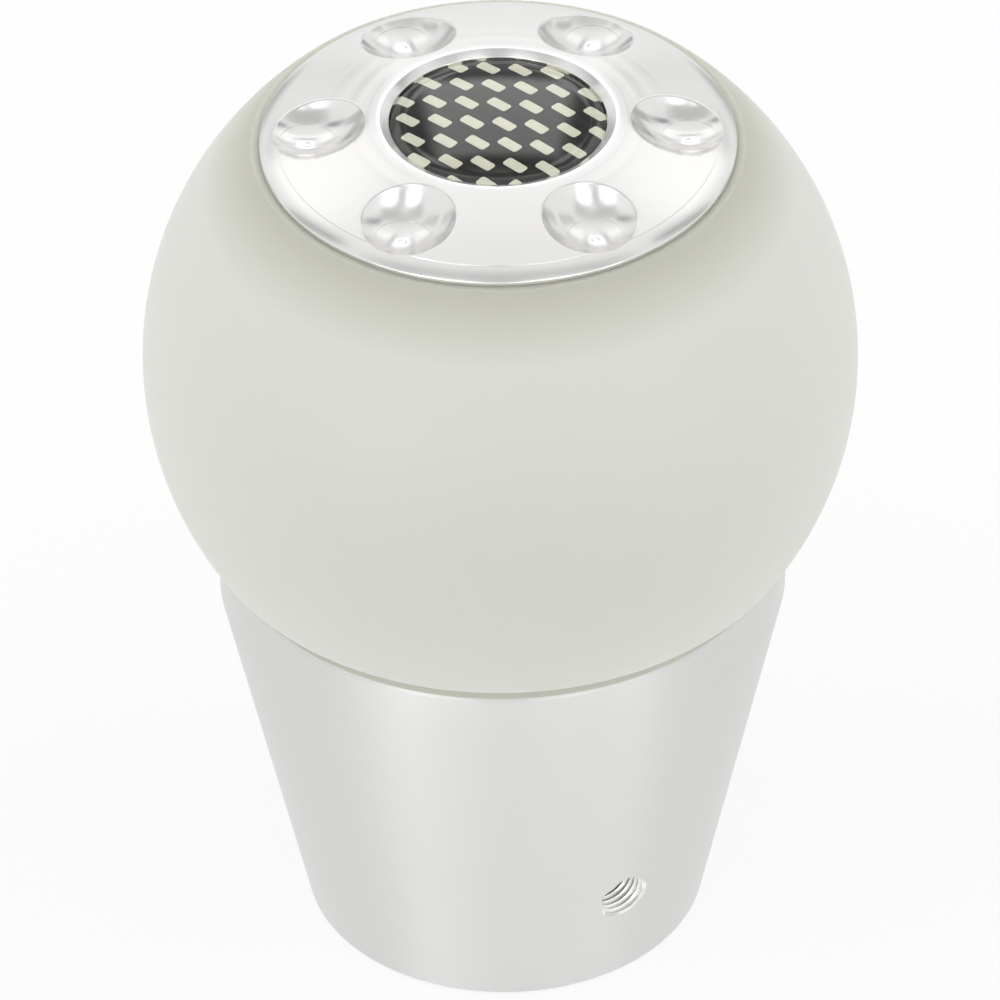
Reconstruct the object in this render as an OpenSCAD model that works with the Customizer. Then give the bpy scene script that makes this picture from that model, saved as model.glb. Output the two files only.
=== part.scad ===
// Gear shift knob: a frosted ball held between a turned foot collar and a domed top ring.
// Millimetres. The origin is the centre of the foot face, and +Z runs up the knob's axis.
// Each size is a named value, and what fits in or on another piece takes its size from that piece.

/* [Ball] */
// Diameter of the grip ball
ball_d = 50; // [46:0.5:56]
// Distance from the ball's centre down to its flat seat on the collar
ball_seat_drop = 14.95; // [13:0.05:17]
// Width of the ball's upper flat that shows round the top ring
ball_flat_w = 0.6; // [0.3:0.05:1]
// Radius that rounds the ball's lower edge into its seat
ball_edge_r = 4.5; // [3:0.1:6]

/* [Collar] */
// Height of the collar from the foot to the ball's seat
collar_h = 31.55; // [29:0.05:36]
// Diameter of the collar at its top band
collar_d = 40.1; // [38:0.1:42]
// Height of the straight band above the taper
band_h = 4.35; // [2:0.05:6]
// Diameter of the foot, where the taper would meet the floor
foot_d = 28.4; // [26:0.1:34]
// Radius that rounds the edge of the foot
foot_edge_r = 0.5; // [0.2:0.05:1]
// Width of the bright chamfer on the collar's top edge
collar_chamfer = 0.17; // [0.1:0.01:0.6]
// Diameter of the spigot that centres the ball
spigot_d = 14; // [10:0.5:18]
// Height of the spigot that centres the ball
spigot_h = 3; // [2:0.5:5]

/* [Lever bore] */
// Diameter of the bore in the collar that takes the sleeve
socket_d = 16; // [14:0.1:18]
// Depth of that bore from the foot
socket_depth = 20; // [17:0.5:22]
// Chamfer at the mouth of the bore
socket_chamfer = 0.6; // [0.3:0.1:1]
// Diameter of the gear lever that the sleeve grips
lever_d = 10; // [8:0.5:12]
// Length of the sleeve
sleeve_len = 19; // [15:0.5:19]
// Height of the sleeve's lower end above the foot
sleeve_lift = 0.5; // [0.3:0.1:0.8]
// Width of the slit that lets the sleeve close on the lever
sleeve_slit = 1.5; // [1:0.1:3]
// Lead-in chamfer at both ends of the sleeve's bore
sleeve_chamfer = 0.5; // [0.2:0.1:0.8]

/* [Grub screws] */
// Number of grub screws round the foot
grub_n = 3; // [3:1:3]
// Direction of the first grub screw, in degrees from +X
grub_turn = -58.4; // [-65:0.1:-50]
// Height of the grub screws above the foot
grub_z = 8.5; // [7:0.1:12]
// Thread diameter of the grub screws
grub_d = 4; // [3:0.5:5]
// Length of a grub screw
grub_len = 4; // [3:0.5:5]
// Diameter of the flat point that presses on the sleeve
grub_point_d = 2.5; // [2:0.1:2.6]
// Hexagon socket of a grub screw, across its flats
grub_key = 2; // [1.3:0.1:2]
// Depth of that hexagon socket
grub_key_depth = 2; // [1.5:0.1:2.2]

/* [Top ring] */
// Outer diameter of the top ring
ring_d = 33; // [30:0.1:35]
// Height of the upright lip round the ring
ring_lip_h = 0.25; // [0.2:0.05:0.5]
// Width of the rounded shoulder inside the lip
shoulder_w = 1.2; // [0.6:0.05:2]
// Radius that rounds the shoulder
shoulder_r = 4.5; // [3:0.1:8]
// Height of the fine turned step from the dome down to the shoulder
shoulder_step = 0.06; // [0.02:0.01:0.2]
// Radius of the domed face
dome_r = 60; // [50:1:80]
// Diameter of the plug under the ring that sits in the ball
plug_d = 31.4; // [28:0.1:32]
// Height of that plug
plug_h = 2.6; // [2.2:0.1:4]

/* [Dimples] */
// Number of finger dimples
dimple_n = 6; // [4:1:8]
// Diameter of the circle that the middles of the dimples' mouths lie on
dimple_circle_d = 24.8; // [24:0.1:25.5]
// Diameter of a dimple at its mouth
dimple_d = 6.65; // [5:0.05:7]
// Radius of the ball-ended cutter that makes a dimple
dimple_r = 5; // [4:0.1:6]
// Diameter of the fine step round a dimple's floor
dimple_floor_d = 3.8; // [3:0.1:4.5]
// Depth of that step
dimple_step = 0.04; // [0.02:0.01:0.1]
// Width of the broken edge round a dimple's mouth
dimple_edge = 0.12; // [0.05:0.01:0.2]

/* [Emblem] */
// Diameter of the recess in the ring
recess_d = 16; // [14:0.1:16.5]
// Depth of the recess below the dome at its rim
recess_depth = 1.64; // [1.5:0.01:1.8]
// Thickness of the adhesive pad
pad_t = 0.3; // [0.2:0.05:0.4]
// Thickness of the woven disc
disc_t = 0.5; // [0.3:0.05:0.6]
// Thickness of the light tows that show on the disc
tow_t = 0.05; // [0.03:0.01:0.1]
// Thickness of the clear resin at its rim
resin_edge_t = 0.3; // [0.2:0.05:0.4]
// Extra thickness of the clear resin at its crown
resin_crown_t = 0.6; // [0.3:0.05:1]

/* [Weave] */
// Length of a light tow where it shows between the dark ones
tow_len = 1.7; // [1.2:0.05:2]
// Width of a light tow
tow_w = 0.85; // [0.5:0.05:1.1]
// Direction of a light tow, in degrees from +X
tow_turn = -43; // [-60:1:-30]
// Distance from one light tow to the next in its row
tow_pitch = 2.22; // [2:0.01:2.6]
// Distance between the rows of light tows
row_pitch = 2.23; // [2:0.01:2.6]
// Length by which each row lies further along than the row behind it
row_shift = 0.65; // [0:0.01:1.1]
// Direction of the rows, in degrees from +X
row_turn = -7.5; // [-15:0.5:0]
// Distance of the middle tow from the axis, along its row
weave_along = 0.49; // [0:0.01:1.1]
// Distance of the middle row from the axis, towards the front
weave_forward = 0.4; // [0:0.01:1.1]

/* [Centre screw] */
// Thread diameter of the centre screw
screw_d = 5; // [4:0.5:6]
// Length of the centre screw that is threaded into the collar
screw_grip = 9.3; // [7:0.1:10]
// Diameter of its countersunk head
screw_head_d = 9.4; // [8:0.1:10]
// Height of the straight edge on the head
screw_head_edge = 0.3; // [0.1:0.05:0.5]
// Hexagon socket of the centre screw, across its flats
screw_key = 3; // [2:0.5:3]
// Depth of that hexagon socket
screw_key_depth = 1.9; // [1.2:0.1:2]
// Depth of tapped hole past the end of the screw
tap_spare = 1.5; // [0.5:0.5:2]

/* [Clearances] */
// Radial clearance of a spigot, plug, disc or sleeve in its seat
seat_gap = 0.1; // [0.05:0.05:0.3]
// Radial clearance of a screw in its thread
thread_gap = 0.04; // [0.02:0.01:0.08]
// Radial clearance of the centre screw's shank in the ball
shank_gap = 0.25; // [0.1:0.05:0.5]
// Radial clearance of the emblem in its recess
emblem_gap = 0.35; // [0.1:0.05:0.5]

/* [Hidden] */
$fn = 96;
// Facets in a full turn of the wide, flat domes, which show only a small cap of their ball
dome_fn = 360;
// Length by which a cutting shape runs past the surface that it cuts
past = 1;

ball_r = ball_d / 2;
ball_z = collar_h + ball_seat_drop;
// The ball is cut flat where it is just wider than the ring that sits on it
ball_seat_rise = sqrt(pow(ball_r, 2) - pow(ring_d / 2 + ball_flat_w, 2));
ring_seat_z = ball_z + ball_seat_rise;

// The edge round is an arc inside the ball's circle, tangent to it and to the flat seat
edge_z = -ball_seat_drop + ball_edge_r;
edge_x = sqrt(pow(ball_r - ball_edge_r, 2) - pow(edge_z, 2));
edge_turn = atan2(edge_z, edge_x);

// The taper runs from under the band to the foot, and the foot's round is tangent to it
band_z = collar_h - band_h;
taper = (collar_d - foot_d) / 2 / band_z;
taper_len = sqrt(1 + pow(taper, 2));
foot_arc_x = foot_d / 2 + foot_edge_r * (taper - taper_len);

sleeve_d = socket_d - 2 * seat_gap;
// At rest the points stand flush with the wall of the socket, just clear of the sleeve
grub_tip_r = socket_d / 2;
grub_body_d = grub_d - 2 * thread_gap;
grub_hole_r = foot_d / 2 + (grub_z + grub_d) * taper;

// The shoulder is an arc that starts square to the dome's radius and ends at the top of the lip
dome_edge_r = ring_d / 2 - shoulder_w;
dome_edge_turn = asin(dome_edge_r / dome_r);
shoulder_x = dome_edge_r - shoulder_r * sin(dome_edge_turn);
shoulder_z = ring_seat_z + ring_lip_h - sqrt(pow(shoulder_r, 2) - pow(ring_d / 2 - shoulder_x, 2));

// The dome's centre lies on the axis, and puts its outer edge one step above the shoulder
dome_centre_z = shoulder_z + shoulder_step - (dome_r - shoulder_r) * cos(dome_edge_turn);
dome_crown_z = dome_centre_z + dome_r;

recess_floor_z = dome_centre_z + sqrt(pow(dome_r, 2) - pow(recess_d / 2, 2)) - recess_depth;
disc_z = recess_floor_z + pad_t;
tow_z = disc_z + disc_t;
resin_z = tow_z + tow_t;
emblem_r = recess_d / 2 - emblem_gap;
resin_r = (pow(emblem_r, 2) + pow(resin_crown_t, 2)) / (2 * resin_crown_t);

// A dimple is cut by a ball whose centre stands above the dome, so its mouth is square to the dome
dimple_tilt = asin(dimple_circle_d / 2 / dome_r);
dimple_mouth_drop = dome_r - sqrt(pow(dome_r, 2) - pow(dimple_d / 2, 2));
dimple_lift = sqrt(pow(dimple_r, 2) - pow(dimple_d / 2, 2)) - dimple_mouth_drop;
dimple_slope = dimple_d / 2 / (dimple_lift + dimple_mouth_drop);

screw_top_z = recess_floor_z - seat_gap;
screw_cone_h = (screw_head_d - screw_d) / 2;
screw_shank_z = screw_top_z - screw_head_edge - screw_cone_h;
screw_end_z = collar_h + spigot_h - screw_grip;

// Half of the ball's outline, centred on the ball: its circle, the edge round and the seat
module ball_outline() {
    intersection() {
        circle(r = ball_r);
        polygon([[0, 0], [2 * ball_d * cos(edge_turn), 2 * ball_d * sin(edge_turn)],
                 [2 * ball_d, ball_seat_rise], [0, ball_seat_rise]]);
    }
    translate([edge_x, edge_z]) circle(r = ball_edge_r);
    polygon([[0, 0], [0, -ball_seat_drop], [edge_x, -ball_seat_drop], [edge_x, edge_z]]);
}

// The frosted ball, turned flat at both ends and drilled through
module ball_grip() {
    color([0.86, 0.86, 0.83])
    translate([0, 0, ball_z])
    difference() {
        rotate_extrude() intersection() {
            ball_outline();
            translate([0, -ball_d]) square([ball_d, 2 * ball_d]);
        }
        translate([0, 0, -ball_d])
            cylinder(d = screw_d + 2 * shank_gap, h = 2 * ball_d);
        translate([0, 0, ball_seat_rise - plug_h - seat_gap])
            cylinder(d = plug_d + 2 * seat_gap, h = plug_h + seat_gap + past);
        translate([0, 0, -ball_seat_drop - past])
            cylinder(d = spigot_d + 2 * seat_gap, h = spigot_h + seat_gap + past);
    }
}

// The turned foot collar: a straight band above a long taper, bored for the lever
module lower_collar() {
    color([0.80, 0.80, 0.80])
    difference() {
        union() {
            rotate_extrude() {
                polygon([[0, 0], [foot_arc_x, 0], [foot_arc_x, foot_edge_r],
                         [foot_arc_x + foot_edge_r / taper_len,
                          foot_edge_r - foot_edge_r * taper / taper_len],
                         [collar_d / 2, band_z],
                         [collar_d / 2, collar_h - collar_chamfer],
                         [collar_d / 2 - collar_chamfer, collar_h],
                         [0, collar_h]]);
                translate([foot_arc_x, foot_edge_r]) circle(r = foot_edge_r);
            }
            cylinder(d = spigot_d, h = collar_h + spigot_h);
        }
        translate([0, 0, -past]) cylinder(d = socket_d, h = socket_depth + past);
        translate([0, 0, -past])
            cylinder(d1 = socket_d + 2 * (socket_chamfer + past), d2 = socket_d,
                     h = socket_chamfer + past);
        translate([0, 0, screw_end_z - tap_spare])
            cylinder(d = screw_d + 2 * thread_gap, h = collar_h + spigot_h);
        for (i = [0 : grub_n - 1]) grub_place(i) cylinder(d = grub_d, h = grub_hole_r);
    }
}

// Puts a shape that points up +Z on the axis of one grub screw, pointing out of the knob
module grub_place(i) {
    rotate([0, 0, grub_turn + i * 360 / grub_n]) translate([0, 0, grub_z]) rotate([0, 90, 0])
        children();
}

// A grub screw with a flat point and a hexagon socket, its point at the wall of the lever bore
module grub_screw(i) {
    point_cone = (grub_body_d - grub_point_d) / 2;
    color([0.35, 0.35, 0.36])
    grub_place(i) translate([0, 0, grub_tip_r]) difference() {
        union() {
            cylinder(d1 = grub_point_d, d2 = grub_body_d, h = point_cone);
            translate([0, 0, point_cone]) cylinder(d = grub_body_d, h = grub_len - point_cone);
        }
        translate([0, 0, grub_len - grub_key_depth])
            cylinder(d = grub_key / cos(30), h = grub_key_depth + past, $fn = 6);
    }
}

// The split plastic sleeve that fits the knob to the lever
module adapter_sleeve() {
    mouth_r = lever_d / 2 + sleeve_chamfer;
    color([0.10, 0.10, 0.11])
    translate([0, 0, sleeve_lift]) difference() {
        cylinder(d = sleeve_d, h = sleeve_len);
        translate([0, 0, -past]) cylinder(d = lever_d, h = sleeve_len + 2 * past);
        translate([0, 0, -past])
            cylinder(r1 = mouth_r + past, r2 = lever_d / 2, h = sleeve_chamfer + past);
        translate([0, 0, sleeve_len - sleeve_chamfer])
            cylinder(r1 = lever_d / 2, r2 = mouth_r + past, h = sleeve_chamfer + past);
        translate([0, -sleeve_slit / 2, -past])
            cube([socket_d, sleeve_slit, sleeve_len + 2 * past]);
    }
}

// The shape that cuts one dimple, from the centre of its ball, with the broken edge at its mouth
module dimple_cutter() {
    mouth_z = -dimple_lift - dimple_mouth_drop;
    edge_drop = dimple_edge * dimple_slope / 2;
    rotate_extrude() {
        intersection() {
            circle(r = dimple_r);
            translate([0, -dimple_r]) square([dimple_r, 2 * dimple_r]);
        }
        polygon([[dimple_d / 2 - 2 * dimple_edge, mouth_z - 3 * edge_drop],
                 [dimple_d / 2 + 2 * dimple_edge, mouth_z + edge_drop],
                 [dimple_d / 2 + 2 * dimple_edge, 0], [dimple_d / 2 - 2 * dimple_edge, 0]]);
    }
}

// The shape that cuts the fine step in a dimple's floor, from the centre of the same ball
module dimple_floor_cutter() {
    floor_r = dimple_r + dimple_step;
    rotate_extrude() intersection() {
        circle(r = floor_r);
        translate([0, -floor_r]) square([dimple_floor_d / 2, floor_r]);
    }
}

// Puts a shape at the centre of one dimple's ball, turned out of upright by an angle
module at_dimple(i, turn) {
    translate([0, 0, dome_centre_z]) rotate([0, 0, i * 360 / dimple_n]) rotate([0, dimple_tilt, 0])
        translate([0, 0, dome_r + dimple_lift]) rotate([0, turn - dimple_tilt, 0]) children();
}

// Half of the top ring's outline: the plug, the lip, the rounded shoulder and the dome
module ring_outline() {
    intersection() {
        polygon([[0, ring_seat_z - plug_h], [plug_d / 2, ring_seat_z - plug_h],
                 [plug_d / 2, ring_seat_z], [ring_d / 2, ring_seat_z],
                 [ring_d / 2, dome_crown_z + past], [0, dome_crown_z + past]]);
        union() {
            intersection() {
                translate([0, dome_centre_z]) circle(r = dome_r, $fn = dome_fn);
                square([dome_edge_r, dome_crown_z + past]);
            }
            translate([shoulder_x, shoulder_z]) circle(r = shoulder_r);
        }
    }
}

// Half of the space in the ring: the hole and countersink for the screw, and the emblem's recess
module ring_bore_outline() {
    shank_r = screw_d / 2 + shank_gap;
    head_r = screw_head_d / 2 + seat_gap;
    polygon([[0, ring_seat_z - plug_h - past], [shank_r, ring_seat_z - plug_h - past],
             [shank_r, screw_shank_z + shank_gap - seat_gap], [head_r, screw_shank_z + screw_cone_h],
             [head_r, recess_floor_z], [recess_d / 2, recess_floor_z],
             [recess_d / 2, dome_crown_z + past], [0, dome_crown_z + past]]);
}

// The top ring, turned to its outline and then given its finger dimples
module top_ring() {
    color([0.82, 0.82, 0.82])
    difference() {
        rotate_extrude() difference() {
            ring_outline();
            ring_bore_outline();
        }
        for (i = [0 : dimple_n - 1]) at_dimple(i, dimple_tilt) dimple_cutter();
        for (i = [0 : dimple_n - 1]) at_dimple(i, 0) dimple_floor_cutter();
    }
}

// The countersunk screw that pulls the ring, the ball and the collar together
module centre_screw() {
    color([0.30, 0.30, 0.31])
    difference() {
        rotate_extrude()
            polygon([[0, screw_end_z], [screw_d / 2, screw_end_z], [screw_d / 2, screw_shank_z],
                     [screw_head_d / 2, screw_top_z - screw_head_edge],
                     [screw_head_d / 2, screw_top_z], [0, screw_top_z]]);
        translate([0, 0, screw_top_z - screw_key_depth])
            cylinder(d = screw_key / cos(30), h = screw_key_depth + past, $fn = 6);
    }
}

// The pad of tape that holds the emblem in its recess
module adhesive_pad() {
    color([0.88, 0.88, 0.86])
    translate([0, 0, recess_floor_z]) cylinder(r = emblem_r - seat_gap, h = pad_t);
}

// The dark woven disc of the emblem
module carbon_disc() {
    color([0.16, 0.16, 0.15])
    translate([0, 0, disc_z]) cylinder(r = emblem_r, h = disc_t);
}

// One light tow where it comes to the surface, with its corners rounded
module tow() {
    corner_r = tow_w / 4;
    for (x = [-1, 1]) for (y = [-1, 1])
        translate([x * (tow_len / 2 - corner_r), y * (tow_w / 2 - corner_r), 0])
            cylinder(r = corner_r, h = tow_t);
    translate([-tow_len / 2 + corner_r, -tow_w / 2, 0]) cube([tow_len - 2 * corner_r, tow_w, tow_t]);
    translate([-tow_len / 2, -tow_w / 2 + corner_r, 0]) cube([tow_len, tow_w - 2 * corner_r, tow_t]);
}

// Where one light tow lies, along the rows and square to them, measured from the axis
function tow_place(row, column) =
    [weave_along + column * tow_pitch + row * row_shift, -weave_forward - row * row_pitch];

// The light tows, in rows that each lie a little further along than the row behind
module weave_tows() {
    rows = ceil(emblem_r / row_pitch);
    columns = ceil((emblem_r + rows * row_shift) / tow_pitch);
    color([0.80, 0.80, 0.70])
    translate([0, 0, tow_z]) intersection() {
        rotate([0, 0, row_turn])
            for (row = [-rows : rows]) for (column = [-columns : columns])
                if (norm(tow_place(row, column)) < emblem_r)
                    translate(tow_place(row, column)) rotate([0, 0, tow_turn - row_turn]) tow();
        cylinder(r = emblem_r - seat_gap, h = tow_t);
    }
}

// The clear resin lens poured over the weave
module resin_dome() {
    color([0.95, 0.96, 0.94, 0.3])
    intersection() {
        translate([0, 0, resin_z]) cylinder(r = emblem_r, h = resin_edge_t + resin_crown_t + past);
        translate([0, 0, resin_z + resin_edge_t + resin_crown_t - resin_r])
            sphere(r = resin_r, $fn = dome_fn);
    }
}

lower_collar();
adapter_sleeve();
grub_screw(0);  // grub_screw_1
grub_screw(1);  // grub_screw_2
grub_screw(2);  // grub_screw_3
ball_grip();
top_ring();
centre_screw();
adhesive_pad();
carbon_disc();
weave_tows();
resin_dome();
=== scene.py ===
import math

import bmesh
import bpy
from mathutils import Matrix, Vector


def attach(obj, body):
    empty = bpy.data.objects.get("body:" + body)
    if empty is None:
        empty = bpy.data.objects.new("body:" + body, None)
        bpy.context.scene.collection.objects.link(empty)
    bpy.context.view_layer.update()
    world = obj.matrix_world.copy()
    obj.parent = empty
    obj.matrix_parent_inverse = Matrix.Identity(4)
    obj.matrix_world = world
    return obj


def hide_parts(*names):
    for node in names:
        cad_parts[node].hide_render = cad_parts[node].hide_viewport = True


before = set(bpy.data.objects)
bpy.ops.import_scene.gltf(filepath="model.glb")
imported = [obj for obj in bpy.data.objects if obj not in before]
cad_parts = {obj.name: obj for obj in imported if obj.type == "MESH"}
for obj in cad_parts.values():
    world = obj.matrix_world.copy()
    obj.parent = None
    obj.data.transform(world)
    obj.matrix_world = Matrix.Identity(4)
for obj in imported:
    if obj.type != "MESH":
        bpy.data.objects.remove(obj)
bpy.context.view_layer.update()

# Camera.
# The photograph was taken from about 37 degrees above the knob with a long lens, so its lines
# hardly converge. The knob stands a little turned in the picture, which the camera's roll gives.
MM = 0.001
BALL_CENTRE = Vector((0, 0, 46.5 * MM))
CAMERA_DISTANCE = 0.8
CAMERA_ELEVATION = math.radians(36.97)
CAMERA_ROLL = math.radians(0.6)
PICTURE_SIDE = 1000
SENSOR_SIDE = 36.0
PIXELS_PER_MM = 14.30
# Where the photograph shows the middle of the ball, from its left and top edges
BALL_PIXEL = (500.4, 354.4)

focal_pixels = PIXELS_PER_MM * CAMERA_DISTANCE / MM
to_camera = Vector((0, -math.cos(CAMERA_ELEVATION), math.sin(CAMERA_ELEVATION)))
look_down = math.atan((PICTURE_SIDE / 2 - BALL_PIXEL[1]) / focal_pixels)
look_left = math.atan((PICTURE_SIDE / 2 - BALL_PIXEL[0]) / focal_pixels)
camera_turn = (
    Matrix.Rotation(math.pi / 2 - CAMERA_ELEVATION, 3, "X")
    @ Matrix.Rotation(-CAMERA_ROLL, 3, "Z")
    @ Matrix.Rotation(-look_down, 3, "X")
    @ Matrix.Rotation(-look_left, 3, "Y")
)
camera_data = bpy.data.cameras.new("camera")
camera_data.sensor_width = SENSOR_SIDE
camera_data.lens = focal_pixels * SENSOR_SIDE / PICTURE_SIDE
camera_data.clip_start = 10 * MM
camera = bpy.data.objects.new("camera", camera_data)
camera.matrix_world = (
    Matrix.Translation(BALL_CENTRE + to_camera * CAMERA_DISTANCE) @ camera_turn.to_4x4()
)
bpy.context.scene.collection.objects.link(camera)
bpy.context.scene.camera = camera

# Studio.
# A plain white table in a white room, with large soft lamps above and to the sides. The room
# shows white in the metal too, and the table keeps the knob's soft shadow.
bpy.context.scene.view_settings.view_transform = "Standard"


def linear(hex_colour):
    """The linear colour of an sRGB hex value such as "#d9dbd5"."""
    parts = [int(hex_colour[i : i + 2], 16) / 255 for i in (1, 3, 5)]
    return [c / 12.92 if c <= 0.04045 else ((c + 0.055) / 1.055) ** 2.4 for c in parts] + [1.0]


def add(tree, kind, feeds=None, **settings):
    """Adds a node of that kind. Settings are its own properties, and feeds gives each input a
    value or the output that feeds it."""
    made = tree.nodes.new(kind)
    for name, value in settings.items():
        setattr(made, name, value)
    for socket, value in (feeds or {}).items():
        if isinstance(value, bpy.types.NodeSocket):
            tree.links.new(value, made.inputs[socket])
        else:
            made.inputs[socket].default_value = value
    return made


def material(name):
    """A new material with an empty node tree, and that tree."""
    made = bpy.data.materials.new(name)
    made.use_nodes = True
    made.node_tree.nodes.clear()
    return made, made.node_tree


def seen_rays(tree):
    """1 on the rays that show a thing to the camera, in a mirror or through glass, 0 on the others."""
    path = add(tree, "ShaderNodeLightPath")
    seen = path.outputs["Is Camera Ray"]
    for also in ("Is Glossy Ray", "Is Transmission Ray"):
        either = add(tree, "ShaderNodeMath", {0: seen, 1: path.outputs[also]}, operation="MAXIMUM")
        seen = either.outputs[0]
    return seen


# The room shows as white, and lights the knob a little less than that
ROOM_FILL = 0.71
room = bpy.data.worlds.new("white_room")
bpy.context.scene.world = room
room.use_nodes = True
tree = room.node_tree
tree.nodes.clear()
level = add(tree, "ShaderNodeMapRange", {"Value": seen_rays(tree), "To Min": ROOM_FILL, "To Max": 1.0})
glow = add(tree, "ShaderNodeBackground", {"Color": linear("#ffffff"), "Strength": level.outputs[0]})
add(tree, "ShaderNodeOutputWorld", {"Surface": glow.outputs[0]})

FLOOR_SIDE = 6.0
sheet = bmesh.new()
bmesh.ops.create_grid(sheet, x_segments=1, y_segments=1, size=FLOOR_SIDE / 2)
table_mesh = bpy.data.meshes.new("white_table")
sheet.to_mesh(table_mesh)
sheet.free()
white_table = bpy.data.objects.new("white_table", table_mesh)
bpy.context.scene.collection.objects.link(white_table)
# How much of the table shows as plain white. The rest is lit paint, which takes the shadow
TABLE_GLOW = 0.78
paint, tree = material("matt_white_paint")
matt = add(tree, "ShaderNodeBsdfDiffuse", {"Color": linear("#fbfbfa")})
shown = add(tree, "ShaderNodeEmission", {"Color": linear("#ffffff"), "Strength": 1.0})
share = add(tree, "ShaderNodeMath", {0: seen_rays(tree), 1: TABLE_GLOW}, operation="MULTIPLY")
surface = add(tree, "ShaderNodeMixShader", {0: share.outputs[0], 1: matt.outputs[0], 2: shown.outputs[0]})
add(tree, "ShaderNodeOutputMaterial", {"Surface": surface.outputs[0]})
table_mesh.materials.append(paint)

# Each lamp: its name, where it stands from the ball and its two sides in metres, and its watts.
# The metal and the resin do not mirror the lamps
LAMPS = (
    ("lamp_high_left", (-0.62, 0.12, 0.77), (0.42, 0.5), 1.1),
    ("lamp_high_right", (0.62, 0.12, 0.77), (0.42, 0.5), 1.1),
    ("lamp_front_left", (-0.4, -0.35, 0.86), (0.5, 0.5), 0.88),
    ("lamp_front_right", (0.4, -0.35, 0.86), (0.5, 0.5), 0.88),
    ("lamp_side_left", (-0.9, -0.5, 0.5), (0.6, 0.6), 0.2),
)
for name, place, sides, watts in LAMPS:
    lamp_data = bpy.data.lights.new(name, "AREA")
    lamp_data.shape = "RECTANGLE"
    lamp_data.size, lamp_data.size_y = sides
    lamp_data.energy = watts
    lamp = bpy.data.objects.new(name, lamp_data)
    lamp.location = BALL_CENTRE + Vector(place)
    lamp.rotation_mode = "QUATERNION"
    lamp.rotation_quaternion = Vector(place).to_track_quat("Z", "Y")
    lamp.visible_glossy = False
    bpy.context.scene.collection.objects.link(lamp)

# The cards are what the metal and the resin mirror in place of the lamps. Each card: its name, its
# direction from the ball as degrees round from the back and degrees up, how far aside it stands,
# its width and height in degrees, and how bright it is beside the white room. Each one stands a
# little nearer than the one before it, and fades out over a part CARD_FADE of its width
CARD_DISTANCE = 1.4
CARD_GAP = 0.01
CARD_FADE = 0.14
CARDS = (
    ("card_overhead", 180, 88, 0, 66, 30, 0.62),
    ("card_front_left", 180, 60, -18, 22, 30, 2.4),
    ("card_front_right", 180, 60, 18, 22, 30, 2.4),
    ("card_front_gap", 180, 60, 0, 9, 30, 0.6),
    ("card_flank_left", 56, 20, 0, 14, 20, 0.6),
    ("card_flank_right", -56, 20, 0, 14, 20, 0.5),
    ("card_side_left", 58, 47, 0, 9, 24, 0.2),
    ("card_side_right", -58, 47, 0, 9, 24, 0.15),
    ("card_back", 0, 46, 0, 66, 25, 1.34),
    ("card_back_under_left", 25, 29, 0, 15, 9, 0.75),
    ("card_back_under_right", -25, 29, 0, 15, 9, 0.7),
    ("card_low_left", 38, 7, 0, 50, 14, 0.42),
    ("card_low_right", -38, 7, 0, 50, 14, 0.42),
    ("card_surround", 0, 36.5, 0, 25, 35, 0.35),
    ("card_window", 0, 36, 0, 17, 26, 1.9),
    ("card_floor_left", 150, 6, 0, 60, 13, 3.4),
    ("card_floor_right", -150, 6, 0, 60, 13, 2.9),
    ("card_streak_left", 145, 9, 0, 7, 16, 8.5),
    ("card_streak_right", -130, 9, 0, 7, 16, 5.5),
)
for i, (name, round_turn, up_turn, aside, width, height, brightness) in enumerate(CARDS):
    sheet = bmesh.new()
    sheet.loops.layers.uv.new("across")
    bmesh.ops.create_grid(sheet, x_segments=1, y_segments=1, size=1.0, calc_uvs=True)
    distance = CARD_DISTANCE - i * CARD_GAP
    half_width, half_height = (distance * math.tan(math.radians(side / 2)) for side in (width, height))
    bmesh.ops.scale(sheet, vec=(half_width, half_height, 1), verts=sheet.verts)
    bmesh.ops.translate(sheet, vec=(distance * math.tan(math.radians(aside)), 0, 0), verts=sheet.verts)
    towards = Vector((0, math.cos(math.radians(up_turn)), math.sin(math.radians(up_turn))))
    towards.rotate(Matrix.Rotation(math.radians(round_turn), 3, "Z"))
    facing = (-towards).to_track_quat("Z", "Y").to_matrix().to_4x4()
    place = Matrix.Translation(BALL_CENTRE + towards * distance) @ facing
    bmesh.ops.transform(sheet, matrix=place, verts=sheet.verts)
    card_mesh = bpy.data.meshes.new(name)
    sheet.to_mesh(card_mesh)
    sheet.free()
    card = bpy.data.objects.new(name, card_mesh)
    bpy.context.scene.collection.objects.link(card)
    paint, tree = material(name + "_paint")
    across = add(tree, "ShaderNodeTexCoord")
    off_middle = add(tree, "ShaderNodeVectorMath", {0: across.outputs["UV"], 1: (0.5, 0.5, 0)},
                     operation="SUBTRACT")
    away = add(tree, "ShaderNodeVectorMath", {0: off_middle.outputs[0]}, operation="ABSOLUTE")
    parts = add(tree, "ShaderNodeSeparateXYZ", {"Vector": away.outputs[0]})
    edge = add(tree, "ShaderNodeMath", {0: parts.outputs["X"], 1: parts.outputs["Y"]}, operation="MAXIMUM")
    fade = add(tree, "ShaderNodeMapRange", {
        "Value": edge.outputs[0], "From Min": 0.5, "From Max": 0.5 - CARD_FADE},
        interpolation_type="SMOOTHSTEP")
    shown = add(tree, "ShaderNodeEmission", {"Color": linear("#ffffff"), "Strength": brightness})
    gone = add(tree, "ShaderNodeBsdfTransparent")
    surface = add(tree, "ShaderNodeMixShader", {0: fade.outputs[0], 1: gone.outputs[0], 2: shown.outputs[0]})
    add(tree, "ShaderNodeOutputMaterial", {"Surface": surface.outputs[0]})
    card_mesh.materials.append(paint)
    for unseen in ("visible_camera", "visible_diffuse", "visible_shadow"):
        setattr(card, unseen, False)

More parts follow.
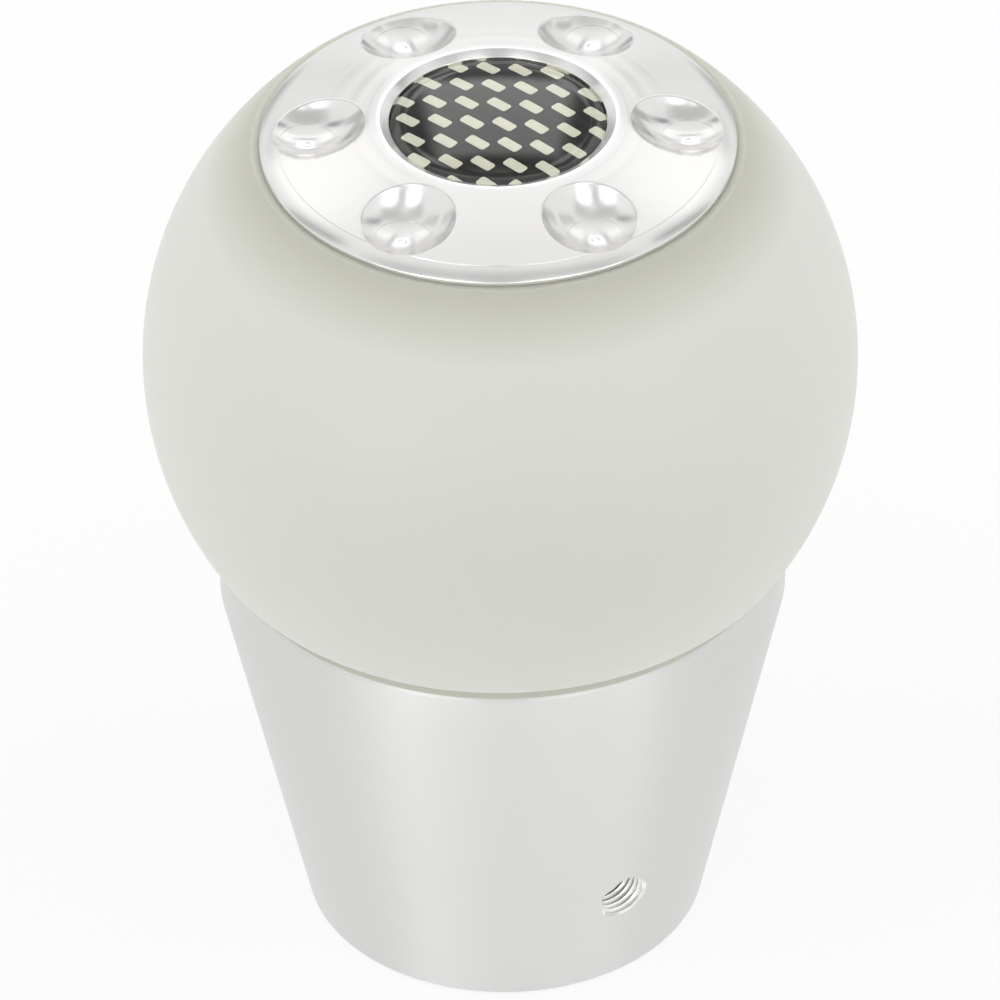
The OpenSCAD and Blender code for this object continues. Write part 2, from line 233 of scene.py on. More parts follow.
# Foot collar.
# Turned from an aluminium bar on a lathe, with a straight band above a long taper, then fine
# satin anodised. The lathe's marks run round it and draw the reflections out into upright streaks.
COLLAR_TOP = 31.55 * MM
COLLAR_R = 20.05 * MM
BAND_Z = COLLAR_TOP - 4.35 * MM
FOOT_R = 14.2 * MM
FOOT_EDGE_R = 0.5 * MM
COLLAR_CHAMFER = 0.17 * MM
SPIGOT_R = 7.0 * MM
SPIGOT_TOP = COLLAR_TOP + 3.0 * MM
SOCKET_R = 8.0 * MM
SOCKET_TOP = 20.0 * MM
SOCKET_CHAMFER = 0.6 * MM
TAP_R = 2.54 * MM
TAP_FLOOR = 23.75 * MM
# Rows of short faces on the taper, where the threaded holes break through it: the height of the
# lowest and their distance, in millimetres, and their number
HOLE_ROWS = (5, 0.25, 29)
TURN_STEPS = 256
# Points nearer to each other than this are one point
SAME_POINT = 0.001 * MM


def arc(centre, radius, start, end, steps):
    """Points (radius from the axis, height) along an arc, from one angle to another in degrees."""
    angles = [math.radians(start + (end - start) * i / steps) for i in range(steps + 1)]
    return [(centre[0] + radius * math.cos(a), centre[1] + radius * math.sin(a)) for a in angles]


def turned(name, outline, steps=TURN_STEPS, sharp=28):
    """A closed solid, made by spinning an outline of (radius, height) points round the Z axis."""
    shape = bmesh.new()
    points = [shape.verts.new((r, 0, z)) for r, z in outline]
    sides = zip(points, points[1:] + points[:1])
    edges = [shape.edges.new(side) for side in sides if max(side[0].co.x, side[1].co.x) > SAME_POINT]
    bmesh.ops.spin(shape, geom=points + edges, axis=(0, 0, 1), cent=(0, 0, 0), dvec=(0, 0, 0),
                   angle=2 * math.pi, steps=steps, use_merge=True, use_duplicate=False)
    bmesh.ops.remove_doubles(shape, verts=shape.verts, dist=SAME_POINT)
    bmesh.ops.recalc_face_normals(shape, faces=shape.faces)
    return finished(name, shape, sharp)


def finished(name, shape, sharp=28):
    """Turns a bmesh into an object with smooth faces, and sharp edges past an angle in degrees."""
    mesh = bpy.data.meshes.new(name)
    shape.to_mesh(mesh)
    shape.free()
    mesh.shade_smooth()
    mesh.set_sharp_from_angle(angle=math.radians(sharp))
    made = bpy.data.objects.new(name, mesh)
    bpy.context.scene.collection.objects.link(made)
    return made


taper = (COLLAR_R - FOOT_R) / BAND_Z
taper_turn = math.degrees(math.atan(taper))
foot_arc_r = FOOT_R + FOOT_EDGE_R * (taper - math.hypot(1, taper))
lowest_row, row_step, row_count = HOLE_ROWS
hole_rows = [(lowest_row + i * row_step) * MM for i in range(row_count)]
collar_outline = (
    [(SOCKET_R + SOCKET_CHAMFER, 0)]
    + arc((foot_arc_r, FOOT_EDGE_R), FOOT_EDGE_R, -90, -taper_turn, 8)
    + [(FOOT_R + z * taper, z) for z in hole_rows]
    + [
        (COLLAR_R, BAND_Z),
        (COLLAR_R, COLLAR_TOP - COLLAR_CHAMFER),
        (COLLAR_R - COLLAR_CHAMFER, COLLAR_TOP),
        (SPIGOT_R, COLLAR_TOP),
        (SPIGOT_R, SPIGOT_TOP),
        (TAP_R, SPIGOT_TOP),
        (TAP_R, TAP_FLOOR),
        (0, TAP_FLOOR),
        (0, SOCKET_TOP),
        (SOCKET_R, SOCKET_TOP),
        (SOCKET_R, SOCKET_CHAMFER),
    ]
)
foot_collar = turned("foot_collar", collar_outline, steps=512)

# Each threaded hole is cut with a tap, which leaves the real helical groove in the wall.
GRUB_COUNT = 3
GRUB_TURN = math.radians(-58.4)
GRUB_Z = 8.5 * MM
THREAD_R = 2.0 * MM
THREAD_PITCH = 0.5 * MM
THREAD_DEPTH = 0.27 * MM
THREAD_STEPS = 40
HOLE_REACH = 18.0 * MM
# Length by which a tap or a die runs past the end of what it cuts
CUT_PAST = 0.6 * MM


def threaded_rod(name, radius, start, end):
    """A rod with a helical thread along +Z, from start to end, with its groove THREAD_DEPTH deep.
    The thread's phase is the same for every rod, so that a screw's thread lies in its hole's."""
    shape = bmesh.new()
    first = math.floor(start / THREAD_PITCH) - 2
    turns = math.ceil(end / THREAD_PITCH) + 2 - first
    root = radius - THREAD_DEPTH
    # One turn of the thread: the radius, and the height in pitches
    tooth = ((root, 0), (radius, 0.4), (radius, 0.52), (root, 0.92), (root, 1))
    points = [shape.verts.new((r, 0, (first + z) * THREAD_PITCH)) for r, z in tooth]
    edges = [shape.edges.new(pair) for pair in zip(points, points[1:])]
    bmesh.ops.spin(shape, geom=points + edges, axis=(0, 0, 1), cent=(0, 0, 0),
                   dvec=(0, 0, THREAD_PITCH / THREAD_STEPS), angle=2 * math.pi * turns,
                   steps=THREAD_STEPS * turns, use_merge=False, use_duplicate=False)
    bmesh.ops.remove_doubles(shape, verts=shape.verts, dist=SAME_POINT / 2)
    for height, side in ((start, -1), (end, 1)):
        everything = shape.verts[:] + shape.edges[:] + shape.faces[:]
        bmesh.ops.bisect_plane(shape, geom=everything, dist=0, plane_co=(0, 0, height),
                               plane_no=(0, 0, side), clear_outer=True)
        bmesh.ops.holes_fill(shape, edges=[e for e in shape.edges if e.is_boundary], sides=0)
    bmesh.ops.recalc_face_normals(shape, faces=shape.faces)
    return finished(name, shape)


def grub_axis(i):
    """Where the axis of grub screw i stands: +Z of a shape turns to point out of the knob."""
    return (
        Matrix.Rotation(GRUB_TURN + i * 2 * math.pi / GRUB_COUNT, 4, "Z")
        @ Matrix.Translation((0, 0, GRUB_Z))
        @ Matrix.Rotation(math.pi / 2, 4, "Y")
    )


def combined(target, tool, operation, sharp=28):
    """Cuts the tool from the target, or keeps what they share, and uses the tool up."""
    boolean = target.modifiers.new("cut", "BOOLEAN")
    boolean.operation = operation
    # This way of cutting keeps closed shapes closed, and leaves the same mesh each run
    boolean.solver = "MANIFOLD"
    boolean.object = tool
    evaluated = target.evaluated_get(bpy.context.evaluated_depsgraph_get())
    cut = bpy.data.meshes.new_from_object(evaluated)
    target.modifiers.clear()
    target.data = cut
    bpy.data.objects.remove(tool)
    cut.shade_smooth()
    cut.set_sharp_from_angle(angle=math.radians(sharp))
    return target


for i in range(GRUB_COUNT):
    tap = threaded_rod("tap", THREAD_R, SOCKET_R - CUT_PAST, HOLE_REACH)
    tap.data.transform(grub_axis(i))
    combined(foot_collar, tap, "DIFFERENCE")


# The lathe's tool leaves marks about 0.1 mm apart. Six to a millimetre are drawn, a little coarser
# than real, so that they show, and broader bands of them differ in gloss
FINE_MARKS = 6 / MM
BROAD_MARKS = 1.4 / MM
MARK_HEIGHT = 0.004 * MM
GLOSS_SPREAD = 0.06


def turned_metal(name, colour, roughness, grooved, marks_along):
    """Turned aluminium, grooved from 0 to 1. Its tool marks run round the Z axis, and are laid out
    along the height or along the radius."""
    made, tree = material(name)
    place = add(tree, "ShaderNodeTexCoord")
    parts = add(tree, "ShaderNodeSeparateXYZ", {"Vector": place.outputs["Object"]})
    flat = add(tree, "ShaderNodeCombineXYZ", {"X": parts.outputs["X"], "Y": parts.outputs["Y"]})
    radius = add(tree, "ShaderNodeVectorMath", {0: flat.outputs[0]}, operation="LENGTH")
    travel = parts.outputs["Z"] if marks_along == "height" else radius.outputs["Value"]
    fine = add(tree, "ShaderNodeTexNoise", {"W": travel, "Scale": FINE_MARKS, "Detail": 3.0},
               noise_dimensions="1D")
    broad = add(tree, "ShaderNodeTexNoise", {"W": travel, "Scale": BROAD_MARKS, "Detail": 4.0},
                noise_dimensions="1D")
    gloss = add(tree, "ShaderNodeMapRange", {
        "Value": broad.outputs["Fac"], "To Min": roughness - GLOSS_SPREAD,
        "To Max": roughness + GLOSS_SPREAD})
    dents = add(tree, "ShaderNodeBump", {
        "Height": fine.outputs["Fac"], "Strength": 0.5, "Distance": MARK_HEIGHT})
    round_axis = add(tree, "ShaderNodeTangent", direction_type="RADIAL", axis="Z")
    surface = add(tree, "ShaderNodeBsdfPrincipled", {
        "Base Color": linear(colour), "Metallic": 1.0, "Roughness": gloss.outputs[0],
        "Anisotropic": grooved, "Anisotropic Rotation": 0.25, "Normal": dents.outputs[0],
        "Tangent": round_axis.outputs[0]})
    add(tree, "ShaderNodeOutputMaterial", {"Surface": surface.outputs[0]})
    return made


foot_collar.data.materials.clear()
satin = turned_metal("satin_turned_aluminium", "#dddddc", 0.4, 0.86, "height")
foot_collar.data.materials.append(satin)

# The threads are cut after the anodising, so they are bare metal and catch more light. The tap's
# fine chatter is drawn coarser than real, three marks to a millimetre
CHATTER = 3 / MM
# A face is thread where it lies this far under the collar's skin
SKIN = 0.15 * MM
bare, tree = material("bare_cut_thread")
place = add(tree, "ShaderNodeTexCoord")
chatter = add(tree, "ShaderNodeTexNoise", {
    "Vector": place.outputs["Object"], "Scale": CHATTER, "Detail": 3.0})
gloss = add(tree, "ShaderNodeMapRange", {"Value": chatter.outputs["Fac"], "To Min": 0.28, "To Max": 0.4})
surface = add(tree, "ShaderNodeBsdfPrincipled", {
    "Base Color": linear("#f6f6f2"), "Metallic": 1.0, "Roughness": gloss.outputs[0]})
add(tree, "ShaderNodeOutputMaterial", {"Surface": surface.outputs[0]})
foot_collar.data.materials.append(bare)
for i in range(GRUB_COUNT):
    into_hole = grub_axis(i).inverted()
    for face in foot_collar.data.polygons:
        x, y, z = into_hole @ face.center
        in_hole = z > 0 and math.hypot(x, y) < THREAD_R - 2 * SAME_POINT
        if in_hole and face.center.xy.length < FOOT_R + face.center.z * taper - SKIN:
            face.material_index = 1
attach(foot_collar, "knob")
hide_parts("lower_collar")

# Adapter sleeve.
# A split black nylon moulding in the collar's bore, which closes on the lever when the grub
# screws press on it. Nylon moulds with a faint satin grain, about four dents to a millimetre.
SLEEVE_GRAIN = 4 / MM
nylon, tree = material("black_nylon")
place = add(tree, "ShaderNodeTexCoord")
grain = add(tree, "ShaderNodeTexNoise", {
    "Vector": place.outputs["Object"], "Scale": SLEEVE_GRAIN, "Detail": 2.0})
dents = add(tree, "ShaderNodeBump", {
    "Height": grain.outputs["Fac"], "Strength": 0.3, "Distance": 0.02 * MM})
surface = add(tree, "ShaderNodeBsdfPrincipled", {
    "Base Color": linear("#191919"), "Roughness": 0.55, "IOR": 1.53, "Normal": dents.outputs[0]})
add(tree, "ShaderNodeOutputMaterial", {"Surface": surface.outputs[0]})
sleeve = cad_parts["adapter_sleeve"]
sleeve.data.materials.clear()
sleeve.data.materials.append(nylon)

# Grub screws.
# Fine-threaded M4 steel screws with a flat point and a hexagon socket, black from their oxide
# finish, which has a dull sheen in soft patches about a millimetre wide. Each is a chamfered blank
# with the thread cut along it, as a die cuts it.
GRUB_R = 1.96 * MM
GRUB_LENGTH = 4.0 * MM
POINT_R = 1.25 * MM
GRUB_END_CHAMFER = 0.25 * MM
KEY_FLATS = 2.0 * MM
KEY_DEPTH = 2.0 * MM
OXIDE_PATCHES = 0.9 / MM

black_oxide, tree = material("black_oxide_steel")
place = add(tree, "ShaderNodeTexCoord")
bloom = add(tree, "ShaderNodeTexNoise", {
    "Vector": place.outputs["Object"], "Scale": OXIDE_PATCHES, "Detail": 5.0})
tone = add(tree, "ShaderNodeMix", {0: bloom.outputs["Fac"], 6: linear("#26262a"), 7: linear("#3c3b3a")},
           data_type="RGBA")
gloss = add(tree, "ShaderNodeMapRange", {"Value": bloom.outputs["Fac"], "To Min": 0.28, "To Max": 0.42})
surface = add(tree, "ShaderNodeBsdfPrincipled", {
    "Base Color": tone.outputs[2], "Metallic": 0.85, "Roughness": gloss.outputs[0]})
add(tree, "ShaderNodeOutputMaterial", {"Surface": surface.outputs[0]})

grub_outline = [
    (0, 0),
    (POINT_R, 0),
    (GRUB_R, GRUB_R - POINT_R),
    (GRUB_R, GRUB_LENGTH - GRUB_END_CHAMFER),
    (GRUB_R - GRUB_END_CHAMFER, GRUB_LENGTH),
    (0, GRUB_LENGTH),
]
for i in range(GRUB_COUNT):
    screw = turned(f"threaded_grub_{i + 1}", grub_outline, steps=THREAD_STEPS * 2)
    screw.data.transform(Matrix.Translation((0, 0, SOCKET_R)))
    die = threaded_rod("die", GRUB_R, SOCKET_R - CUT_PAST, SOCKET_R + GRUB_LENGTH + CUT_PAST)
    combined(screw, die, "INTERSECT")
    key = bmesh.new()
    bmesh.ops.create_cone(key, cap_ends=True, segments=6, radius1=KEY_FLATS / math.sqrt(3),
                          radius2=KEY_FLATS / math.sqrt(3), depth=2 * KEY_DEPTH)
    bmesh.ops.translate(key, vec=(0, 0, SOCKET_R + GRUB_LENGTH), verts=key.verts)
    combined(screw, finished("key", key), "DIFFERENCE")
    screw.data.transform(grub_axis(i))
    screw.data.materials.clear()
    screw.data.materials.append(black_oxide)
    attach(screw, f"grub_{i + 1}")
    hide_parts(f"grub_screw_{i + 1}")

# Grip ball.
# Turned from clear acrylic, faced flat at both ends and then blasted, which frosts its surface and
# lets light sink in. A soft darker band under the ring is painted shade in its colour, and light that
# comes down through the ball leaves its underside, which is drawn as a faint painted glow of the surface.
BALL_R = 25.0 * MM
BALL_SEAT = 14.95 * MM
TOP_FLAT_R = 17.1 * MM
BALL_EDGE_R = 4.5 * MM
PLUG_SEAT_R = 15.8 * MM
PLUG_SEAT_DEPTH = 2.7 * MM
SPIGOT_SEAT_R = 7.1 * MM
SPIGOT_SEAT_DEPTH = 3.1 * MM
SHANK_HOLE_R = 2.75 * MM
UNDERSIDE_GLOW = 0.45
UNDERSIDE_GLOW_Z = 1.5 * MM
# The painted shade band under the ring: how far below the ring it starts, and where it is darkest
UNDER_RING_SHADE_START = 4.0 * MM
UNDER_RING_SHADE_END = 0.1 * MM
# How far light runs inside the acrylic, less far in blue
LIGHT_SINK = 6.0 * MM
# The grit's real dents are finer than this. Six to a millimetre are drawn, so that they show
GRIT_DENTS = 6 / MM

RING_SEAT = math.sqrt(BALL_R**2 - TOP_FLAT_R**2)
edge_z = BALL_EDGE_R - BALL_SEAT
edge_r = math.sqrt((BALL_R - BALL_EDGE_R) ** 2 - edge_z**2)
edge_turn = math.degrees(math.atan2(edge_z, edge_r))
top_turn = math.degrees(math.asin(RING_SEAT / BALL_R))
ball_outline = (
    [(SHANK_HOLE_R, SPIGOT_SEAT_DEPTH - BALL_SEAT), (SPIGOT_SEAT_R, SPIGOT_SEAT_DEPTH - BALL_SEAT),
     (SPIGOT_SEAT_R, -BALL_SEAT)]
    + arc((edge_r, edge_z), BALL_EDGE_R, -90, edge_turn, 24)
    + arc((0, 0), BALL_R, edge_turn, top_turn, 96)[1:]
    + [(PLUG_SEAT_R, RING_SEAT), (PLUG_SEAT_R, RING_SEAT - PLUG_SEAT_DEPTH),
       (SHANK_HOLE_R, RING_SEAT - PLUG_SEAT_DEPTH)]
)
ball_z = COLLAR_TOP + BALL_SEAT
frosted_ball = turned("frosted_ball", [(r, z + ball_z) for r, z in ball_outline])

frosted, tree = material("frosted_acrylic")
place = add(tree, "ShaderNodeTexCoord")
parts = add(tree, "ShaderNodeSeparateXYZ", {"Vector": place.outputs["Object"]})
# Painted shade: the acrylic's colour darkens towards the ring, over a band just below it
painted_shade_under_ring = add(tree, "ShaderNodeMapRange", {
    "Value": parts.outputs["Z"], "From Min": ball_z + RING_SEAT - UNDER_RING_SHADE_START,
    "From Max": ball_z + RING_SEAT - UNDER_RING_SHADE_END})
tone = add(tree, "ShaderNodeMix", {0: painted_shade_under_ring.outputs[0], 6: linear("#dfe0da"), 7: linear("#c8c8b8")},
           data_type="RGBA")
underside = add(tree, "ShaderNodeMapRange", {
    "Value": parts.outputs["Z"], "From Min": COLLAR_TOP, "From Max": COLLAR_TOP + UNDERSIDE_GLOW_Z,
    "To Min": UNDERSIDE_GLOW, "To Max": 0.0})
blast = add(tree, "ShaderNodeTexNoise", {
    "Vector": place.outputs["Object"], "Scale": GRIT_DENTS, "Detail": 2.0})
dents = add(tree, "ShaderNodeBump", {
    "Height": blast.outputs["Fac"], "Strength": 0.25, "Distance": 0.01 * MM})
surface = add(tree, "ShaderNodeBsdfPrincipled", {
    "Base Color": tone.outputs[2], "Roughness": 0.5, "IOR": 1.49, "Normal": dents.outputs[0],
    "Subsurface Weight": 1.0, "Subsurface Radius": (1.0, 1.0, 0.85), "Subsurface Scale": LIGHT_SINK,
    "Emission Color": linear("#e8e8da"), "Emission Strength": underside.outputs[0]})
add(tree, "ShaderNodeOutputMaterial", {"Surface": surface.outputs[0]})
frosted_ball.data.materials.append(frosted)
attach(frosted_ball, "knob")
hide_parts("ball_grip")

# Top ring.
# Turned from aluminium with a lip, a small shoulder and a domed face, and left brighter than the
# collar. The finger dimples are then plunged upright with a ball-ended cutter, which leaves a fine
# step round each floor and a mark in its middle, and their edges are broken.
ring_z = ball_z + RING_SEAT
RING_R = 16.5 * MM
LIP_HEIGHT = 0.25 * MM
LIP_EDGE_R = 0.12 * MM
SHOULDER_WIDTH = 1.2 * MM
SHOULDER_R = 4.5 * MM
SHOULDER_STEP = 0.06 * MM
DOME_R = 60.0 * MM
PLUG_R = 15.7 * MM
PLUG_HEIGHT = 2.6 * MM
RECESS_R = 8.0 * MM
RECESS_DEPTH = 1.64 * MM
RECESS_EDGE_R = 0.2 * MM
# Where the rounding of the recess starts, in degrees, so that it runs on from the dome
RECESS_EDGE_START = 98
RECESS_BEVEL = 0.4 * MM
BEVEL_EDGE_R = 0.1 * MM
EMBLEM_LIP_R = 7.52 * MM
EMBLEM_LIP = 0.32 * MM
EMBLEM_SEAT_R = 7.72 * MM
SCREW_HOLE_R = 2.75 * MM
SINK_R = 4.8 * MM
SINK_EDGE = 0.4 * MM

dome_edge_r = RING_R - SHOULDER_WIDTH
dome_edge_turn = math.acos(dome_edge_r / DOME_R)
shoulder_x = dome_edge_r - SHOULDER_R * math.cos(dome_edge_turn)
shoulder_z = LIP_HEIGHT - math.sqrt(SHOULDER_R**2 - (RING_R - shoulder_x) ** 2)
dome_centre = shoulder_z + SHOULDER_STEP - (DOME_R - SHOULDER_R) * math.sin(dome_edge_turn)
dome_face = arc((0, dome_centre), DOME_R, math.degrees(dome_edge_turn),
                math.degrees(math.acos((RECESS_R + RECESS_EDGE_R) / DOME_R)), 30)
recess_top = dome_centre + math.sqrt(DOME_R**2 - RECESS_R**2)
recess_floor = recess_top - RECESS_DEPTH

# Its edge is rounded into a bevel, which ends in a lip over the edge of the woven disc
lip_z = recess_top - RECESS_BEVEL
bevel_turn = math.degrees(math.atan2(RECESS_BEVEL, RECESS_R - EMBLEM_LIP_R))
mouth = (RECESS_R + RECESS_EDGE_R, dome_face[-1][1] - RECESS_EDGE_R)
recess_edge = (
    arc(mouth, RECESS_EDGE_R, RECESS_EDGE_START, 90 + bevel_turn, 6)
    + arc((EMBLEM_LIP_R + BEVEL_EDGE_R, lip_z), BEVEL_EDGE_R, 90 + bevel_turn, 180, 5)
    + [(EMBLEM_LIP_R, lip_z - EMBLEM_LIP), (EMBLEM_SEAT_R, lip_z - EMBLEM_LIP),
       (EMBLEM_SEAT_R, recess_floor)]
)

# The lip's edge is rounded, tangent to the lip and to the shoulder
edge_x = RING_R - LIP_EDGE_R
edge_rise = math.sqrt((SHOULDER_R - LIP_EDGE_R) ** 2 - (edge_x - shoulder_x) ** 2)
edge_turn = math.atan2(edge_rise, edge_x - shoulder_x)
rim = (
    arc((edge_x, shoulder_z + edge_rise), LIP_EDGE_R, 0, math.degrees(edge_turn), 8)
    + arc((shoulder_x, shoulder_z), SHOULDER_R, math.degrees(edge_turn),
          math.degrees(dome_edge_turn), 12)[1:]
)
sink_depth = SINK_EDGE + SINK_R - SCREW_HOLE_R
ring_outline = (
    [(SCREW_HOLE_R, -PLUG_HEIGHT), (PLUG_R, -PLUG_HEIGHT), (PLUG_R, 0), (RING_R, 0)]
    + rim
    + dome_face[:-1]
    + recess_edge
    + [(SINK_R, recess_floor),
       (SINK_R, recess_floor - SINK_EDGE), (SCREW_HOLE_R, recess_floor - sink_depth)]
)
dimpled_ring = turned("dimpled_ring", [(r, z + ring_z) for r, z in ring_outline], steps=288, sharp=20)

DIMPLE_COUNT = 6
DIMPLE_CIRCLE_R = 12.4 * MM
DIMPLE_R = 3.325 * MM
CUTTER_R = 5.0 * MM
DIMPLE_FLOOR_R = 1.9 * MM
# The fine step round a floor is drawn a hundredth of a millimetre deeper than real, to show
DIMPLE_STEP = 0.05 * MM
DIMPLE_EDGE_R = 0.3 * MM
# Where the rounding of a mouth ends, in degrees, just above the dome, and the room round the cutter
DIMPLE_EDGE_END = 100
CUTTER_ROOM = 0.5 * MM
MARK_R = 0.25 * MM
MARK_DEPTH = 0.05 * MM

# The cutter's ball stands above the dome, and its mouth edge is rounded into the dome's face
mouth_drop = DOME_R - math.sqrt(DOME_R**2 - DIMPLE_R**2)
cutter_lift = math.sqrt(CUTTER_R**2 - DIMPLE_R**2) - mouth_drop
edge_rise = DOME_R + cutter_lift
near = CUTTER_R + DIMPLE_EDGE_R
far = DOME_R - DIMPLE_EDGE_R
edge_along = (edge_rise**2 + near**2 - far**2) / (2 * edge_rise)
edge_out = math.sqrt(near**2 - edge_along**2)
wall_end = math.degrees(math.atan2(edge_along, edge_out))
cutter_outline = (
    arc((0, 0), CUTTER_R, -90, -wall_end, 40)
    + arc((edge_out, -edge_along), DIMPLE_EDGE_R, 180 - wall_end, DIMPLE_EDGE_END, 6)[1:]
    + [(edge_out + CUTTER_ROOM, DIMPLE_EDGE_R + 0.1 * MM - edge_along), (edge_out + CUTTER_ROOM, 0),
       (0, 0)]
)
floor_wall = math.degrees(math.acos(DIMPLE_FLOOR_R / (CUTTER_R + DIMPLE_STEP)))
mark_wall = math.degrees(math.acos(MARK_R / (CUTTER_R + DIMPLE_STEP)))
floor_outline = (
    [(0, -CUTTER_R - DIMPLE_STEP - MARK_DEPTH)]
    + arc((0, 0), CUTTER_R + DIMPLE_STEP, -mark_wall, -floor_wall, 16)
    + [(DIMPLE_FLOOR_R + DIMPLE_STEP, -CUTTER_R / 2), (0, -CUTTER_R / 2)]
)
dimple_tilt = math.asin(DIMPLE_CIRCLE_R / DOME_R)
for i in range(DIMPLE_COUNT):
    ball_place = (
        Matrix.Rotation(i * 2 * math.pi / DIMPLE_COUNT, 4, "Z")
        @ Matrix.Translation((0, 0, ring_z + dome_centre))
        @ Matrix.Rotation(dimple_tilt, 4, "Y")
        @ Matrix.Translation((0, 0, DOME_R + cutter_lift))
    )
    cutter = turned("cutter", cutter_outline, steps=96)
    cutter.data.transform(ball_place)
    combined(dimpled_ring, cutter, "DIFFERENCE", sharp=20)
    cutter = turned("cutter", floor_outline, steps=72)
    cutter.data.transform(ball_place @ Matrix.Rotation(-dimple_tilt, 4, "Y"))
    combined(dimpled_ring, cutter, "DIFFERENCE", sharp=20)

dimpled_ring.data.materials.clear()
bright = turned_metal("bright_turned_aluminium", "#e6e5e4", 0.22, 0.8, "radius")
dimpled_ring.data.materials.append(bright)
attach(dimpled_ring, "knob")
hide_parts("top_ring")

# Centre screw.
# A countersunk steel screw with a hexagon socket and the same black oxide finish as the grub
# screws. The emblem hides its head.
centre_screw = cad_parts["centre_screw"]
centre_screw.data.materials.clear()
centre_screw.data.materials.append(black_oxide)

# Adhesive pad.
# Die-cut from pale foam tape, matt and faintly mottled by its cells, about four to a millimetre.
# It holds the emblem in the recess.
FOAM_CELLS = 4 / MM
foam, tree = material("pale_foam_tape")
place = add(tree, "ShaderNodeTexCoord")
cells = add(tree, "ShaderNodeTexVoronoi", {"Vector": place.outputs["Object"], "Scale": FOAM_CELLS})
tone = add(tree, "ShaderNodeMix", {0: cells.outputs["Distance"], 6: linear("#dedcd4"), 7: linear("#f0efea")},
           data_type="RGBA")
surface = add(tree, "ShaderNodeBsdfPrincipled", {"Base Color": tone.outputs[2], "Roughness": 0.9})
add(tree, "ShaderNodeOutputMaterial", {"Surface": surface.outputs[0]})
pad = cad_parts["adhesive_pad"]
pad.data.materials.clear()
pad.data.materials.append(foam)

# Woven disc.
# Dark carbon cloth under resin. Its tows are about a millimetre wide and cross in a twill, which
# shows as faint slanted bars of slightly different black between the light tows.
TWILL_TURN = math.radians(43)
TWILL_WIDTH = 1.122 * MM
# At a scale of 1 a bar of the pattern is a tenth of pi wide
TWILL_BARS = math.pi / 10 / TWILL_WIDTH
cloth, tree = material("dark_carbon_cloth")
place = add(tree, "ShaderNodeTexCoord")
slant = add(tree, "ShaderNodeMapping", {
    "Vector": place.outputs["Object"], "Rotation": (0, 0, TWILL_TURN)})
bars = add(tree, "ShaderNodeTexWave", {
    "Vector": slant.outputs[0], "Scale": TWILL_BARS, "Distortion": 0.0}, bands_direction="Y")
tone = add(tree, "ShaderNodeMix", {0: bars.outputs["Fac"], 6: linear("#080806"), 7: linear("#191914")},
           data_type="RGBA")
surface = add(tree, "ShaderNodeBsdfPrincipled", {
    "Base Color": tone.outputs[2], "Roughness": 0.4, "Specular IOR Level": 0.15})
add(tree, "ShaderNodeOutputMaterial", {"Surface": surface.outputs[0]})
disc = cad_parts["carbon_disc"]
disc.data.materials.clear()
disc.data.materials.append(cloth)

# Light tows.
# Pale glass yarn woven in among the dark, which comes to the surface as short slanted dashes. Fine
# filaments run along each dash, drawn coarser than real, about ten to a millimetre.
FILAMENTS = 1.2 / MM
FILAMENT_STRETCH = 8.0
yarn, tree = material("pale_glass_yarn")
place = add(tree, "ShaderNodeTexCoord")
slant = add(tree, "ShaderNodeMapping", {
    "Vector": place.outputs["Object"], "Rotation": (0, 0, TWILL_TURN),
    "Scale": (1.0, FILAMENT_STRETCH, 1.0)})
filaments = add(tree, "ShaderNodeTexNoise", {
    "Vector": slant.outputs[0], "Scale": FILAMENTS, "Detail": 3.0})
tone = add(tree, "ShaderNodeMix", {
    0: filaments.outputs["Fac"], 6: linear("#dadbc5"), 7: linear("#f4f4e3")}, data_type="RGBA")
surface = add(tree, "ShaderNodeBsdfPrincipled", {"Base Color": tone.outputs[2], "Roughness": 0.5})
add(tree, "ShaderNodeOutputMaterial", {"Surface": surface.outputs[0]})
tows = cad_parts["weave_tows"]
tows.data.materials.clear()
tows.data.materials.append(yarn)

# Resin lens.
# Clear resin poured over the weave, which stands up in a low dome with a rounded rim. It soaks
# in round the tows, so it reaches just below the cloth's face, and it bends the light like a lens.
RESIN_R = 7.48 * MM
EMBLEM_STACK = 0.85 * MM
RESIN_EDGE = 0.3 * MM
RESIN_CROWN = 0.6 * MM
RESIN_RIM_WIDTH = 2.2 * MM
RESIN_RIM_HEIGHT = 0.36 * MM
RESIN_SOAK = 0.07 * MM
RESIN_SKIN = 0.01 * MM
# Where the rim's rounding gives way to the lens, in degrees
RIM_START = 62
# The poured face is very slightly wavy, with a wave each three millimetres or so
WAVES = 0.3 / MM

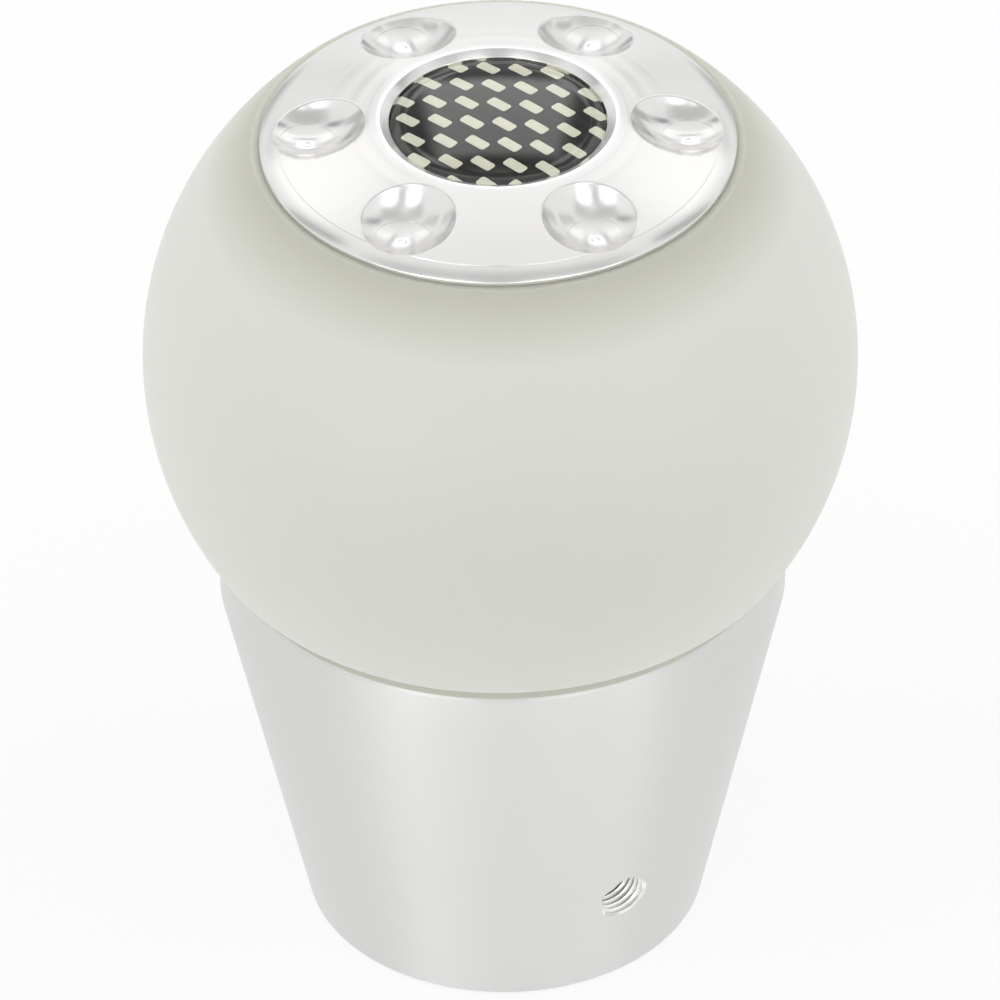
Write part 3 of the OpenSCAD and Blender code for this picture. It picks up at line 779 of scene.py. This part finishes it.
resin_floor = recess_floor + EMBLEM_STACK
cap_r = (RESIN_R**2 + RESIN_CROWN**2) / (2 * RESIN_CROWN)
cap_centre = resin_floor + RESIN_EDGE + RESIN_CROWN - cap_r
cap_end = RESIN_R - RESIN_RIM_WIDTH * (1 - math.cos(math.radians(RIM_START)))
cap_turn = math.degrees(math.acos(cap_end / cap_r))
cap_edge = cap_centre + cap_r * math.sin(math.radians(cap_turn))
rim_base = cap_edge - RESIN_RIM_HEIGHT * math.sin(math.radians(RIM_START))
resin_outline = (
    [(0, resin_floor - RESIN_SOAK), (RESIN_R + RESIN_SKIN, resin_floor - RESIN_SOAK),
     (RESIN_R + RESIN_SKIN, rim_base - RESIN_SKIN)]
    + [(RESIN_R + (r - 1) * RESIN_RIM_WIDTH, rim_base + z * RESIN_RIM_HEIGHT)
       for r, z in arc((0, 0), 1, 0, RIM_START, 14)[:-1]]
    + arc((0, cap_centre), cap_r, cap_turn, 90, 32)
)
resin_lens = turned("resin_lens", [(r, z + ring_z) for r, z in resin_outline], steps=160, sharp=50)

resin, tree = material("clear_resin")
place = add(tree, "ShaderNodeTexCoord")
ripple = add(tree, "ShaderNodeTexNoise", {"Vector": place.outputs["Object"], "Scale": WAVES})
dents = add(tree, "ShaderNodeBump", {
    "Height": ripple.outputs["Fac"], "Strength": 0.2, "Distance": 0.01 * MM})
lens = add(tree, "ShaderNodeBsdfPrincipled", {
    "Base Color": linear("#fbfbf8"), "Roughness": 0.03, "IOR": 1.56, "Transmission Weight": 1.0,
    "Normal": dents.outputs[0]})

# It is clear to the light that falls on the weave, so it throws hardly any shadow
clear = add(tree, "ShaderNodeBsdfTransparent", {"Color": linear("#fdfdfb")})
path = add(tree, "ShaderNodeLightPath")
surface = add(tree, "ShaderNodeMixShader", {
    0: path.outputs["Is Shadow Ray"], 1: lens.outputs[0], 2: clear.outputs[0]})
add(tree, "ShaderNodeOutputMaterial", {"Surface": surface.outputs[0]})
resin_lens.data.materials.append(resin)
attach(resin_lens, "knob")
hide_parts("resin_dome")
